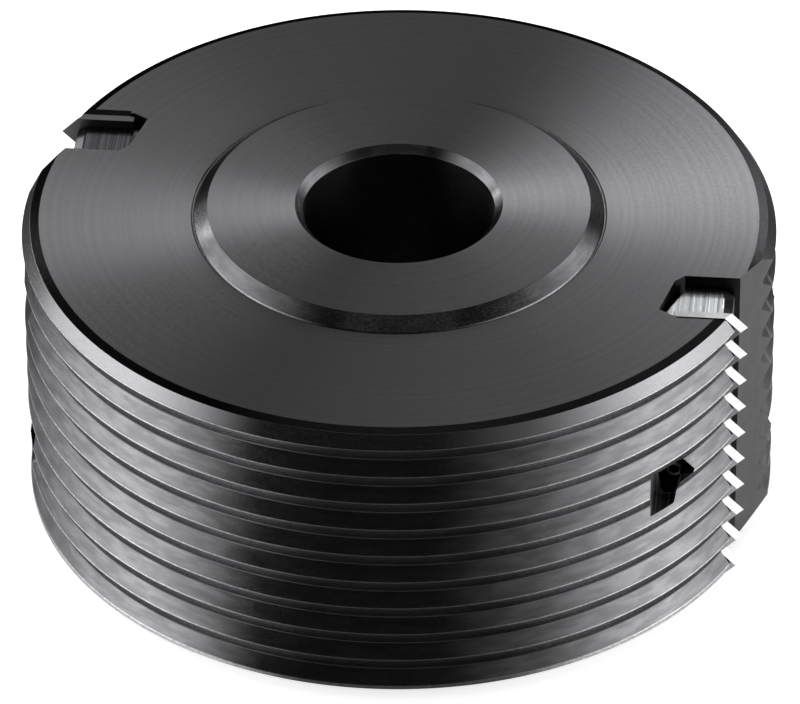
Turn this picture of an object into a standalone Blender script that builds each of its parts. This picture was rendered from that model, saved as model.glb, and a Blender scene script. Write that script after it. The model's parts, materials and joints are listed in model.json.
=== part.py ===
"""Glue joint cutter head: a turned body with ten V ridges, two toothed knives, their wedges and screws.

The head stands on its lower face, with its bore on the Z axis and the origin at the centre of that face.
Each knife has its own frame in plan: u runs outwards along the knife's rake face, v is square to that face
and points the way the cutter turns, and z is the height. The second knife is the first one, half a turn on.
"""
import math

import bmesh
import bpy
from mathutils import Matrix, Vector

MM = 0.001

# Body, driving dimensions
BORE_DIAMETER = 30.0 * MM
BODY_HEIGHT = 50.0 * MM
RIDGE_PITCH = 5.0 * MM
RIDGE_DEPTH = 1.33 * MM
TOP_BEVEL_WIDTH = 1.42 * MM
TOP_BEVEL_DROP = 0.4 * MM
FOOT_LAND = 0.6 * MM
FOOT_BEVEL_WIDTH = 2.8 * MM
HUB_TOP_RADIUS = 29.9 * MM
HUB_RISE = 1.85 * MM
HUB_BEVEL = 2.0 * MM
BORE_BEVEL = 1.2 * MM

# Knives
CUTTING_RADIUS = 60.0 * MM
KNIFE_PROUD = 1.1 * MM
KNIFE_AZIMUTH = math.radians(-5.5)
RAKE_OFFSET = 22.1 * MM
KNIFE_THICKNESS = 1.4 * MM
KNIFE_WIDTH = 11.48 * MM
KNIFE_TOP_DROP = 0.4 * MM
TOOTH_DEPTH = 2.5 * MM
CLEARANCE_ANGLE = math.radians(15.0)

# Pockets, and the flat milled ahead of each
FIT = 0.3 * MM
POCKET_WIDTH = 10.5 * MM
POCKET_SPARE = 2.25 * MM
POCKET_LEAN = 2.0 * MM
POCKET_NEAR_CORNER = 1.4 * MM
POCKET_FAR_CORNER = 1.5 * MM
FLAT_DEPTH = 4.8 * MM
FLAT_TURN = math.radians(-27.5)

# Wedges
WEDGE_GAP = 0.65 * MM
WEDGE_INNER_GAP = 0.45 * MM
WEDGE_LEAN = 3.4 * MM
WEDGE_DROP = 1.8 * MM
WEDGE_BEVEL_WIDTH = 1.5 * MM
WEDGE_BEVEL_DROP = 0.95 * MM

# Rear screws, one behind each knife at mid height, in the recess that a driver reaches through
REAR_SCREW_INSET = 0.93 * MM
REAR_SCREW_DIAMETER = 2.6 * MM
REAR_SCREW_LENGTH = 6.0 * MM
REAR_SOCKET = 1.5 * MM
RECESS_WALL = 10.1 * MM
RECESS_INNER = 3.0 * MM
RECESS_OUTER = 4.5 * MM
RECESS_HEEL = 0.75 * MM
RECESS_DROP = 1.7 * MM
RECESS_SHOULDER = 2.3 * MM
RECESS_RISE = 6.0 * MM

# Front screws, which press on each wedge
FRONT_SCREW_INSET = 4.3 * MM
FRONT_SCREW_TURN = math.radians(67.5)
FRONT_SCREW_END_GAP = 11.2 * MM
FRONT_SCREW_DIAMETER = 8.0 * MM
FRONT_SCREW_LENGTH = 12.0 * MM
FRONT_SCREW_POINT = 5.5 * MM
FRONT_SOCKET = 4.0 * MM

KNIFE_COUNT = 2
SOCKET_DEPTH = 1.8 * MM
OVERCUT = 2.0 * MM
MERGE = 0.01 * MM
TURNED_STEPS = 96
ROUND_STEPS = 32
HEXAGON = 6
SHARP_ANGLE = math.radians(20.0)

# Sizes that follow from the ones above
TOTAL_HEIGHT = BODY_HEIGHT + HUB_RISE
CREST_RADIUS = CUTTING_RADIUS - KNIFE_PROUD
ROOT_RADIUS = CREST_RADIUS - RIDGE_DEPTH
RIDGE_COUNT = round(BODY_HEIGHT / RIDGE_PITCH)
TIP_U = math.sqrt(CUTTING_RADIUS ** 2 - RAKE_OFFSET ** 2)
TOOTH_ROOT_U = TIP_U - TOOTH_DEPTH
KNIFE_INNER = TIP_U - KNIFE_WIDTH
KNIFE_TOP = BODY_HEIGHT - KNIFE_TOP_DROP
RELIEF_ANGLE = math.atan2(RAKE_OFFSET, TIP_U) + CLEARANCE_ANGLE
RELIEF_SHIFT = KNIFE_THICKNESS * math.tan(RELIEF_ANGLE)
KNIFE_FACE = -RAKE_OFFSET
KNIFE_BACK = KNIFE_FACE - KNIFE_THICKNESS
POCKET_NEAR = KNIFE_BACK - FIT
POCKET_FAR = POCKET_NEAR + POCKET_WIDTH
POCKET_INNER = KNIFE_INNER - POCKET_SPARE
WEDGE_NEAR = KNIFE_FACE + FIT
WEDGE_FAR = POCKET_FAR - WEDGE_GAP
WEDGE_INNER = POCKET_INNER + WEDGE_INNER_GAP
WEDGE_OUTER = TOOTH_ROOT_U
REAR_SCREW_U = KNIFE_INNER + REAR_SCREW_INSET
REAR_SCREW_Z = BODY_HEIGHT / 2
FRONT_SCREW_U = KNIFE_INNER + FRONT_SCREW_INSET
FRONT_SCREW_HEIGHTS = {"lower": FRONT_SCREW_END_GAP, "upper": BODY_HEIGHT - FRONT_SCREW_END_GAP}
ALONG_V = Vector((0.0, 1.0, 0.0))
FRONT_SCREW_LINE = Vector((math.cos(FRONT_SCREW_TURN), math.sin(FRONT_SCREW_TURN), 0.0))
OUTSIDE = CUTTING_RADIUS + OVERCUT


def clear_scene():
    """Remove whatever the scene holds."""
    for item in list(bpy.data.objects):
        bpy.data.objects.remove(item, do_unlink=True)


def new_collection(name):
    """Make a collection in the scene."""
    made = bpy.data.collections.new(name)
    bpy.context.scene.collection.children.link(made)
    return made


def steel(name, colour, roughness):
    """Make a plain metal material."""
    material = bpy.data.materials.new(name)
    material.use_nodes = True
    shader = material.node_tree.nodes["Principled BSDF"]
    shader.inputs["Base Color"].default_value = (*colour, 1.0)
    shader.inputs["Roughness"].default_value = roughness
    shader.inputs["Metallic"].default_value = 1.0
    return material


def make_station(number, parts):
    """Make the empty that carries one knife and its pieces, turned to the knife's u, v, z frame."""
    station = bpy.data.objects.new("station_%d" % number, None)
    station.rotation_euler.z = KNIFE_AZIMUTH + (number - 1) * math.tau / KNIFE_COUNT
    parts.objects.link(station)
    return station


def place(item, collection, material=None, station=None):
    """Put an object in its collection, with its material, on its station."""
    collection.objects.link(item)
    item.parent = station
    if material:
        item.data.materials.clear()
        item.data.materials.append(material)
    return item


def cut(item, cutter, cutters, station):
    """Take a cutter's shape out of an object."""
    place(cutter, cutters, station=station)
    cutter.hide_render = True
    cutter.display_type = "WIRE"
    modifier = item.modifiers.new("Cut " + cutter.name, "BOOLEAN")
    modifier.operation = "DIFFERENCE"
    modifier.solver = "EXACT"
    modifier.object = cutter


def settle(holder):
    """Turn an object made by a curve or a modifier into a closed mesh object, and remove the first."""
    bpy.context.scene.collection.objects.link(holder)
    bpy.context.view_layer.update()
    depsgraph = bpy.context.evaluated_depsgraph_get()
    mesh = bpy.data.meshes.new_from_object(holder.evaluated_get(depsgraph))
    name = holder.name
    bpy.data.objects.remove(holder)
    work = bmesh.new()
    work.from_mesh(mesh)
    bmesh.ops.remove_doubles(work, verts=work.verts, dist=MERGE)
    bmesh.ops.recalc_face_normals(work, faces=work.faces)
    work.to_mesh(mesh)
    work.free()
    return bpy.data.objects.new(name, mesh)


def smooth(item):
    """Shade an object's round faces smooth and keep its edges sharp."""
    item.data.shade_smooth()
    item.data.set_sharp_from_angle(angle=SHARP_ANGLE)
    return item


def slab(name, outline, low, high):
    """Make a solid from a flat outline (x, y) that is filled and stands from low to high along z."""
    curve = bpy.data.curves.new(name, "CURVE")
    curve.dimensions = "2D"
    curve.fill_mode = "BOTH"
    curve.extrude = (high - low) / 2
    spline = curve.splines.new("POLY")
    spline.points.add(len(outline) - 1)
    for point, (x, y) in zip(spline.points, outline):
        point.co = (x, y, 0.0, 1.0)
    spline.use_cyclic_u = True
    item = settle(bpy.data.objects.new(name, curve))
    item.data.transform(Matrix.Translation((0.0, 0.0, (low + high) / 2)))
    return item


def upright_slab(name, outline, near, far):
    """Make a solid from an outline in u and z that runs from near to far along v."""
    item = slab(name, outline, -far, -near)
    item.data.transform(Matrix.Rotation(math.radians(90.0), 4, "X"))
    return item


def turned(name, section, steps):
    """Turn a section, as (radius, height) from top to bottom, into a solid round z."""
    mesh = bpy.data.meshes.new(name)
    work = bmesh.new()
    line = [work.verts.new((radius, 0.0, height)) for radius, height in section]
    for first, second in zip(line, line[1:]):
        work.edges.new((first, second))
    work.to_mesh(mesh)
    work.free()
    holder = bpy.data.objects.new(name, mesh)
    screw = holder.modifiers.new("Turn", "SCREW")
    screw.axis = "Z"
    screw.angle = math.tau
    screw.steps = steps
    screw.render_steps = steps
    screw.use_merge_vertices = True
    screw.merge_threshold = MERGE
    return smooth(settle(holder))


def aim(item, start, direction):
    """Move an object that stands on the origin so that it starts at a point and runs along a direction."""
    turn = direction.to_track_quat("Z", "Y").to_matrix().to_4x4()
    item.matrix_basis = Matrix.Translation(start) @ turn
    return item


def bar(name, radius, start, direction, length, steps=ROUND_STEPS):
    """Make a round or many-sided bar from a point along a direction."""
    work = bmesh.new()
    bmesh.ops.create_cone(work, cap_ends=True, segments=steps, radius1=radius, radius2=radius, depth=length)
    bmesh.ops.translate(work, verts=work.verts, vec=(0.0, 0.0, length / 2))
    mesh = bpy.data.meshes.new(name)
    work.to_mesh(mesh)
    work.free()
    return aim(bpy.data.objects.new(name, mesh), start, direction)


def body_section():
    """Return the body's closed section, from the bore's upper bevel down the outside and up the bore."""
    bore = BORE_DIAMETER / 2
    points = [
        (bore, TOTAL_HEIGHT - BORE_BEVEL),
        (bore + BORE_BEVEL, TOTAL_HEIGHT),
        (HUB_TOP_RADIUS, TOTAL_HEIGHT),
        (HUB_TOP_RADIUS + HUB_BEVEL, BODY_HEIGHT),
        (ROOT_RADIUS - TOP_BEVEL_WIDTH, BODY_HEIGHT),
        (ROOT_RADIUS, BODY_HEIGHT - TOP_BEVEL_DROP),
    ]
    for ridge in range(RIDGE_COUNT):
        crest = BODY_HEIGHT - (ridge + 0.5) * RIDGE_PITCH
        points.append((CREST_RADIUS, crest))
        points.append((ROOT_RADIUS, crest - RIDGE_PITCH / 2))
    points[-1] = (CREST_RADIUS, crest - FOOT_LAND)
    foot = CREST_RADIUS - FOOT_BEVEL_WIDTH
    points += [(foot, 0.0), (bore + BORE_BEVEL, 0.0), (bore, BORE_BEVEL), points[0]]
    return points


def pocket_outline():
    """Return a knife pocket's outline in u and v."""
    far_inner = POCKET_INNER + POCKET_LEAN
    return [
        (POCKET_INNER, POCKET_NEAR + POCKET_NEAR_CORNER),
        (KNIFE_INNER - FIT / 3, POCKET_NEAR),
        (OUTSIDE, POCKET_NEAR),
        (OUTSIDE, POCKET_FAR),
        (far_inner + POCKET_FAR_CORNER, POCKET_FAR),
        (far_inner, POCKET_FAR - POCKET_FAR_CORNER),
    ]


def flat_outline():
    """Return the outline, in u and v, of what the milled flat ahead of a pocket takes away."""
    normal = Vector((math.cos(FLAT_TURN), math.sin(FLAT_TURN)))
    along = Vector((-normal.y, normal.x))
    corner_u = (CREST_RADIUS - FLAT_DEPTH - normal.y * POCKET_FAR) / normal.x
    reach = CUTTING_RADIUS / 2
    start = Vector((corner_u, POCKET_FAR)) - along * OVERCUT
    end = start + along * reach
    return [start, end, end + normal * reach, start + normal * reach]


def recess_outline():
    """Return the recess round a rear screw in u and z, which rises in a slope on its outer side."""
    corners = [
        (-RECESS_INNER, RECESS_RISE),
        (-RECESS_INNER, -RECESS_DROP),
        (RECESS_HEEL, -RECESS_DROP),
        (RECESS_HEEL, 0.0),
        (RECESS_OUTER, RECESS_SHOULDER),
        (RECESS_OUTER, RECESS_RISE),
    ]
    return [(REAR_SCREW_U + u, REAR_SCREW_Z + z) for u, z in corners]


def cut_body(body, number, station, cutters):
    """Cut one knife's pocket, flat and screw holes out of the body."""
    low, high = -OVERCUT, BODY_HEIGHT + OVERCUT
    floor = POCKET_NEAR - RECESS_WALL
    hole = Vector((REAR_SCREW_U, floor - MERGE, REAR_SCREW_Z))
    tools = [
        slab("pocket_%d" % number, pocket_outline(), low, high),
        slab("flat_%d" % number, flat_outline(), low, high),
        upright_slab("recess_%d" % number, recess_outline(), -OUTSIDE, floor),
        bar("rear_hole_%d" % number, REAR_SCREW_DIAMETER / 2 + FIT, hole, ALONG_V, RECESS_WALL + OVERCUT),
    ]
    for level, height in FRONT_SCREW_HEIGHTS.items():
        name = "front_hole_%d_%s" % (number, level)
        start = Vector((FRONT_SCREW_U, WEDGE_FAR, height)) - FRONT_SCREW_LINE * OVERCUT
        tools.append(bar(name, FRONT_SCREW_DIAMETER / 2 + FIT, start, FRONT_SCREW_LINE, OUTSIDE))
    for tool in tools:
        cut(body, tool, cutters, station)


def tooth_outline():
    """Return a knife's rake face in u and z, with its row of pointed teeth."""
    half = RIDGE_PITCH / 2
    lowest_tip = KNIFE_TOP - (RIDGE_COUNT - 0.5) * RIDGE_PITCH
    points = [(KNIFE_INNER, 0.0), (TIP_U - lowest_tip * TOOTH_DEPTH / half, 0.0)]
    for tooth in reversed(range(RIDGE_COUNT)):
        tip = KNIFE_TOP - (tooth + 0.5) * RIDGE_PITCH
        points.append((TIP_U, tip))
        points.append((TOOTH_ROOT_U, tip + half))
    points.append((KNIFE_INNER, KNIFE_TOP))
    return points


def slant(item, chosen, shift):
    """Move the vertices that a test picks along u."""
    for vertex in item.data.vertices:
        if chosen(vertex.co):
            vertex.co.x += shift


def make_knife(number, station, material, parts):
    """Make a thin knife with its teeth relieved behind the cutting edge."""
    knife = upright_slab("knife_%d" % number, tooth_outline(), KNIFE_BACK, KNIFE_FACE)
    middle = (KNIFE_BACK + KNIFE_FACE) / 2
    waist = (KNIFE_INNER + TOOTH_ROOT_U) / 2
    slant(knife, lambda co: co.y < middle and co.x > waist, -RELIEF_SHIFT)
    place(knife, parts, material, station)


def wedge_outline():
    """Return a wedge's side in u and z, bevelled at the outer end of its top and foot."""
    top = BODY_HEIGHT - WEDGE_DROP
    return [
        (WEDGE_INNER, WEDGE_DROP),
        (WEDGE_OUTER - WEDGE_BEVEL_WIDTH, WEDGE_DROP),
        (WEDGE_OUTER, WEDGE_DROP + WEDGE_BEVEL_DROP),
        (WEDGE_OUTER, top - WEDGE_BEVEL_DROP),
        (WEDGE_OUTER - WEDGE_BEVEL_WIDTH, top),
        (WEDGE_INNER, top),
    ]


def make_wedge(number, station, material, parts):
    """Make a wedge whose inner end leans outwards."""
    wedge = upright_slab("wedge_%d" % number, wedge_outline(), WEDGE_NEAR, WEDGE_FAR)
    middle = (WEDGE_NEAR + WEDGE_FAR) / 2
    waist = (WEDGE_INNER + WEDGE_OUTER) / 2
    slant(wedge, lambda co: co.y > middle and co.x < waist, WEDGE_LEAN)
    place(wedge, parts, material, station)


def cut_socket(screw, width, length, direction, end, cutters, station):
    """Cut the six-sided socket into a screw's outer end."""
    start = end - direction * SOCKET_DEPTH
    tool = bar("socket_of_" + screw.name, width / math.sqrt(3.0), start, direction, length, HEXAGON)
    cut(screw, tool, cutters, station)


def make_rear_screw(number, station, material, parts, cutters):
    """Make the headless socket screw that stops just short of the knife's back."""
    tip = Vector((REAR_SCREW_U, POCKET_NEAR, REAR_SCREW_Z))
    screw = bar("rear_screw_%d" % number, REAR_SCREW_DIAMETER / 2, tip, -ALONG_V, REAR_SCREW_LENGTH)
    place(smooth(screw), parts, material, station)
    end = tip - ALONG_V * REAR_SCREW_LENGTH
    cut_socket(screw, REAR_SOCKET, REAR_SCREW_LENGTH, -ALONG_V, end, cutters, station)


def make_front_screw(number, level, station, material, parts, cutters):
    """Make a headless socket screw with a bevelled point that stops just short of its wedge."""
    radius = FRONT_SCREW_DIAMETER / 2
    point = FRONT_SCREW_POINT / 2
    length = FRONT_SCREW_LENGTH
    section = [(0.0, length), (radius, length), (radius, radius - point), (point, 0.0), (0.0, 0.0)]
    screw = turned("front_screw_%d_%s" % (number, level), section, ROUND_STEPS)
    touch = Vector((FRONT_SCREW_U, WEDGE_FAR, FRONT_SCREW_HEIGHTS[level]))
    tip = touch + FRONT_SCREW_LINE * (point / math.tan(FRONT_SCREW_TURN) + FIT / math.sin(FRONT_SCREW_TURN))
    place(aim(screw, tip, FRONT_SCREW_LINE), parts, material, station)
    end = tip + FRONT_SCREW_LINE * length
    cut_socket(screw, FRONT_SOCKET, length, FRONT_SCREW_LINE, end, cutters, station)


def main():
    """Build the cutter head."""
    clear_scene()
    parts = new_collection("jointing_cutter")
    cutters = new_collection("cutters")
    body = turned("cutter_body", body_section(), TURNED_STEPS)
    place(body, parts, steel("Darkened steel", (0.115, 0.115, 0.12), 0.38))
    ground = steel("Ground steel", (0.72, 0.73, 0.74), 0.24)
    milled = steel("Milled steel", (0.58, 0.61, 0.63), 0.34)
    black = steel("Black screw steel", (0.05, 0.05, 0.055), 0.42)
    for number in range(1, KNIFE_COUNT + 1):
        station = make_station(number, parts)
        cut_body(body, number, station, cutters)
        make_knife(number, station, ground, parts)
        make_wedge(number, station, milled, parts)
        make_rear_screw(number, station, black, parts, cutters)
        for level in FRONT_SCREW_HEIGHTS:
            make_front_screw(number, level, station, black, parts, cutters)


main()
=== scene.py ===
"""Glue joint cutter head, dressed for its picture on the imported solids.

The head stands on its lower face with its bore on Z, in metres. Each knife has a plan frame of its own: u
runs outwards along the rake face, v is square to it and points the way the head turns, and z is the height.
"""
from __future__ import annotations

import json
import logging
import math
from dataclasses import dataclass, field
from enum import Enum

import bmesh
import bpy
import numpy as np
from bpy.types import Material, Node, NodeSocket, NodeTree, Object, bpy_prop_collection
from mathutils import Matrix, Vector

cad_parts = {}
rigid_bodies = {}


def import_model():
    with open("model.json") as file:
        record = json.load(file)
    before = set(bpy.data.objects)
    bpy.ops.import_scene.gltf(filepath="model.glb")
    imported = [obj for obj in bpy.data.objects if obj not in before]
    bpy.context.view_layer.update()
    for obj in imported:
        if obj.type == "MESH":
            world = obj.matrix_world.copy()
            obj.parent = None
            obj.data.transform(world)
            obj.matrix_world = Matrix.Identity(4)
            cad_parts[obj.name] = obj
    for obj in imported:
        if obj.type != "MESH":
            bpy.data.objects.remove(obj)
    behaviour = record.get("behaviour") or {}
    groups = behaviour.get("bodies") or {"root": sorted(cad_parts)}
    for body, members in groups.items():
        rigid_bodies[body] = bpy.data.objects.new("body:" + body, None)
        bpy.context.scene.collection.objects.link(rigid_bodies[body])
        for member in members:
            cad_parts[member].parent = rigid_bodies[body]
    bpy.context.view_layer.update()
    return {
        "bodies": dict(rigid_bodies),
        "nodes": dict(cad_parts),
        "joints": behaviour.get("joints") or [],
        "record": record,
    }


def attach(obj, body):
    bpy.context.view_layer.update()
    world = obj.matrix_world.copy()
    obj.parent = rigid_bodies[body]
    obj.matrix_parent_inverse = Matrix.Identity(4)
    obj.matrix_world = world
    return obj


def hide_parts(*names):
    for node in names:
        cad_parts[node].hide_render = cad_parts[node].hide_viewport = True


LOG = logging.getLogger("cutter_head")
MM = 0.001
BODY = "root"
KNIFE_TURN = math.radians(-5.5)
SHARP_ANGLE = math.radians(32.0)
ARC_STEPS = 4
TURNED_SEGMENTS = 288
ROUND_SEGMENTS = 48
MERGE_DISTANCE = 0.0005 * MM
BROAD_SHARE = 0.3
MARK_RANGE = (0.3, 0.7)
MASK_RANGE = (0.36, 0.66)
GRAIN_RANGE = (0.35, 0.68)
WHITE = (1.0, 1.0, 1.0, 1.0)


class Station(Enum):
    """The two knife stations, by the side of the picture on which each one lies."""

    RIGHT = 1
    LEFT = 2

    @property
    def frame(self) -> Matrix:
        """The matrix from this station's u, v, z frame to the head."""
        return Matrix.Rotation(KNIFE_TURN + math.pi * (self.value - 1), 4, "Z")

    @property
    def tag(self) -> str:
        """The station's name in lower case."""
        return self.name.lower()


# Shapes worked out as whole arrays


def equal_angles(segments: int) -> np.ndarray:
    """Return the angles of equal steps round a circle."""
    return np.arange(segments) * math.tau / segments


def pointing(direction: Vector) -> Matrix:
    """Return the turn that lays z along a direction."""
    return direction.to_track_quat("Z", "Y").to_matrix().to_4x4()


def rounded(corners: np.ndarray, radii: np.ndarray) -> np.ndarray:
    """Round the corners of a closed line in a plane.

    At a corner P with unit arms a and b and half angle h, the arc's centre is
    P + (a + b) / |a + b| * r / sin h. The arc runs between the two tangent points at r / tan h along the
    arms, in equal steps of angle.

    Args:
        corners: The line's corners, one row each.
        radii: The arc radius at each corner.

    Returns:
        The points of the rounded line.
    """
    before = np.roll(corners, 1, axis=0) - corners
    after = np.roll(corners, -1, axis=0) - corners
    before /= np.linalg.norm(before, axis=1, keepdims=True)
    after /= np.linalg.norm(after, axis=1, keepdims=True)
    half = np.arccos(np.clip((before * after).sum(1), -1.0, 1.0)) / 2
    middle = before + after
    middle /= np.linalg.norm(middle, axis=1, keepdims=True)
    centre = corners + middle * (radii / np.sin(half))[:, None]
    reach = (radii / np.tan(half))[:, None]
    first = corners + before * reach - centre
    last = corners + after * reach - centre
    turn = np.arccos(np.clip((first * last).sum(1) / radii**2, -1.0, 1.0))
    step = np.linspace(0.0, 1.0, ARC_STEPS + 1)[None, :, None]
    angle = turn[:, None, None]
    arc = (np.sin((1 - step) * angle) * first[:, None] + np.sin(step * angle) * last[:, None]) / np.sin(angle)
    return (centre[:, None] + arc).reshape(-1, 2)


def turned_surface(section: np.ndarray, segments: int) -> tuple[np.ndarray, np.ndarray]:
    """Turn a section round z.

    Point (r, h) at the angle t goes to (r cos t, r sin t, h), with t in equal steps.

    Args:
        section: Rows of (radius, height), from top to bottom along the outer side.
        segments: The number of steps round the axis.

    Returns:
        The vertices and the four-sided faces, facing outwards.
    """
    angle = equal_angles(segments)
    radius, height = section[:, 0][:, None], section[:, 1][:, None]
    shape = np.broadcast_to(height, (len(section), segments))
    points = np.stack([radius * np.cos(angle), radius * np.sin(angle), shape], axis=-1).reshape(-1, 3)
    row, column = np.meshgrid(np.arange(len(section) - 1), np.arange(segments), indexing="ij")
    following = (column + 1) % segments
    faces = np.stack(
        [
            row * segments + column,
            (row + 1) * segments + column,
            (row + 1) * segments + following,
            row * segments + following,
        ],
        axis=-1,
    ).reshape(-1, 4)
    return points, faces


def swept_outline(outline: np.ndarray, low: float, high: float) -> tuple[np.ndarray, list[list[int]]]:
    """Stand a flat outline up along z.

    Each point (x, y) goes to (x, y, low) and (x, y, high).

    Args:
        outline: The points of the outline, anticlockwise.
        low: Where the solid starts.
        high: Where it ends.

    Returns:
        The vertices and the faces: two caps, and a side for each edge.
    """
    count = len(outline)
    foot = np.column_stack([outline, np.full(count, low)])
    top = np.column_stack([outline, np.full(count, high)])
    here = np.arange(count)
    following = (here + 1) % count
    sides = np.stack([here, following, following + count, here + count], axis=-1)
    faces = [here[::-1].tolist(), (here + count).tolist(), *sides.tolist()]
    return np.vstack([foot, top]), faces


def upright(points: np.ndarray) -> np.ndarray:
    """Lay a solid that stands along z on its side, so that (u, z, depth) goes to (u, -depth, z)."""
    return np.column_stack([points[:, 0], -points[:, 2], points[:, 1]])


def hexagon_radius(angle: np.ndarray, width: float) -> np.ndarray:
    """Return the radius of a hexagon at each angle: half its width over the cosine to the nearest flat."""
    sector = math.tau / 6
    return width / 2 / np.cos((angle + sector / 2) % sector - sector / 2)


# Objects


def new_object(name: str, points: np.ndarray, faces: np.ndarray | list[list[int]]) -> Object:
    """Make an object in the scene from arrays of vertices and faces."""
    mesh = bpy.data.meshes.new(name)
    mesh.from_pydata(np.asarray(points).tolist(), [], faces if isinstance(faces, list) else faces.tolist())
    made = bpy.data.objects.new(name, mesh)
    bpy.context.scene.collection.objects.link(made)
    return made


def cleaned(item: Object) -> Object:
    """Merge an object's doubled vertices and turn its faces outwards."""
    work = bmesh.new()
    work.from_mesh(item.data)
    bmesh.ops.remove_doubles(work, verts=work.verts, dist=MERGE_DISTANCE)
    bmesh.ops.recalc_face_normals(work, faces=work.faces)
    work.to_mesh(item.data)
    work.free()
    return item


def carve(item: Object, tools: list[Object]) -> None:
    """Take the tools' shapes out of an object's mesh, and remove the tools.

    The manifold solver is used because the exact one loses most of the body's many rounded ridges.
    """
    for tool in tools:
        modifier = item.modifiers.new(tool.name, "BOOLEAN")
        modifier.operation = "DIFFERENCE"
        modifier.solver = "MANIFOLD"
        modifier.material_mode = "TRANSFER"
        modifier.object = tool
    bpy.context.view_layer.update()
    evaluated = item.evaluated_get(bpy.context.evaluated_depsgraph_get())
    carved = bpy.data.meshes.new_from_object(evaluated)
    item.modifiers.clear()
    item.data = carved
    for tool in tools:
        bpy.data.objects.remove(tool)


def shade(item: Object) -> None:
    """Shade an object smooth between its sharp edges, with its large faces kept flat."""
    item.data.shade_smooth()
    item.data.set_sharp_from_angle(angle=SHARP_ANGLE)
    weighted = item.modifiers.new("Even normals", "WEIGHTED_NORMAL")
    weighted.keep_sharp = True


def soften(item: Object, width: float) -> None:
    """Round an object's edges by a small width."""
    bevel = item.modifiers.new("Soft edges", "BEVEL")
    bevel.limit_method = "ANGLE"
    bevel.angle_limit = SHARP_ANGLE
    bevel.width = width
    bevel.segments = 2
    bevel.use_clamp_overlap = True


def paint(item: Object, material: Material) -> Object:
    """Give an object one material."""
    item.data.materials.clear()
    item.data.materials.append(material)
    return item


def dress(item: Object, slot: str, *nodes: str) -> None:
    """Give a finished piece its place on the head and the solids that it stands for."""
    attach(item, BODY)
    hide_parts(*nodes)
    LOG.info("built %s", item.name)


# Finishes


def grey(value: float) -> tuple[float, float, float, float]:
    """Return a grey with full alpha."""
    return (value, value, value, 1.0)


class Sketch:
    """Places and links the nodes of one tree."""

    def __init__(self, tree: NodeTree) -> None:
        """Start on a tree."""
        self.tree = tree

    def add(self, kind: str, inputs: dict | None = None, **settings: object) -> Node:
        """Add a node.

        Args:
            kind: The node's type.
            inputs: Values or sockets, by the input's name or number.
            **settings: The node's own options.

        Returns:
            The new node.
        """
        node = self.tree.nodes.new(kind)
        for name, value in settings.items():
            setattr(node, name, value)
        for key, value in (inputs or {}).items():
            if isinstance(value, NodeSocket):
                self.tree.links.new(value, node.inputs[key])
            else:
                node.inputs[key].default_value = value
        return node

    def sum(self, operation: str, *values: object) -> NodeSocket:
        """Add a math node and return its result."""
        return self.add("ShaderNodeMath", dict(enumerate(values)), operation=operation).outputs[0]

    def band(
        self, value: object, low: float, high: float, first: float = 0.0, last: float = 1.0
    ) -> NodeSocket:
        """Map a value from one range to another, with soft ends."""
        inputs = {"Value": value, "From Min": low, "From Max": high, "To Min": first, "To Max": last}
        return self.add("ShaderNodeMapRange", inputs, interpolation_type="SMOOTHSTEP").outputs["Result"]

    def times(self, *values: object) -> NodeSocket:
        """Multiply any number of values."""
        product = values[0]
        for value in values[1:]:
            product = self.sum("MULTIPLY", product, value)
        return product

    def blend(self, factor: object, first: object, second: object) -> NodeSocket:
        """Mix two colours by a factor."""
        node = self.add("ShaderNodeMix", {0: factor, 6: first, 7: second}, data_type="RGBA")
        return node.outputs[2]


def new_group(name: str, inputs: dict[str, float | None], outputs: list[str]) -> tuple[NodeTree, Sketch]:
    """Make an empty shader node group.

    Args:
        name: The group's name.
        inputs: Each input's starting value, or None for a vector.
        outputs: The names of its number outputs.

    Returns:
        The group and a sketch on it.
    """
    group = bpy.data.node_groups.new(name, "ShaderNodeTree")
    for label, value in inputs.items():
        kind = "NodeSocketVector" if value is None else "NodeSocketFloat"
        socket = group.interface.new_socket(label, in_out="INPUT", socket_type=kind)
        if value is not None:
            socket.default_value = value
    for label in outputs:
        group.interface.new_socket(label, in_out="OUTPUT", socket_type="NodeSocketFloat")
    return group, Sketch(group)


def new_material(name: str) -> tuple[Material, Sketch, Node]:
    """Make a material, and return it with a sketch on its nodes and its shader."""
    material = bpy.data.materials.new(name)
    material.use_nodes = True
    return material, Sketch(material.node_tree), material.node_tree.nodes["Principled BSDF"]


def tool_marks_group() -> NodeTree:
    """Make the group for tool marks: fine and broad noise along one coordinate, as parallel lines."""
    group, sketch = new_group("tool_marks", {"Coordinate": 0.0, "Lines per mm": 3.0}, ["Height", "Broad"])
    entry = sketch.add("NodeGroupInput")
    line, lines = entry.outputs["Coordinate"], entry.outputs["Lines per mm"]
    slow = sketch.sum("MULTIPLY", lines, BROAD_SHARE)
    inputs = {"W": line, "Scale": lines, "Detail": 3.0, "Roughness": 0.6}
    fine = sketch.add("ShaderNodeTexNoise", inputs, noise_dimensions="1D")
    inputs = {"W": line, "Scale": slow, "Detail": 2.0, "Roughness": 0.5}
    broad = sketch.add("ShaderNodeTexNoise", inputs, noise_dimensions="1D")
    inputs = {"Height": fine.outputs["Fac"], "Broad": broad.outputs["Fac"]}
    sketch.add("NodeGroupOutput", inputs)
    return group


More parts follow.
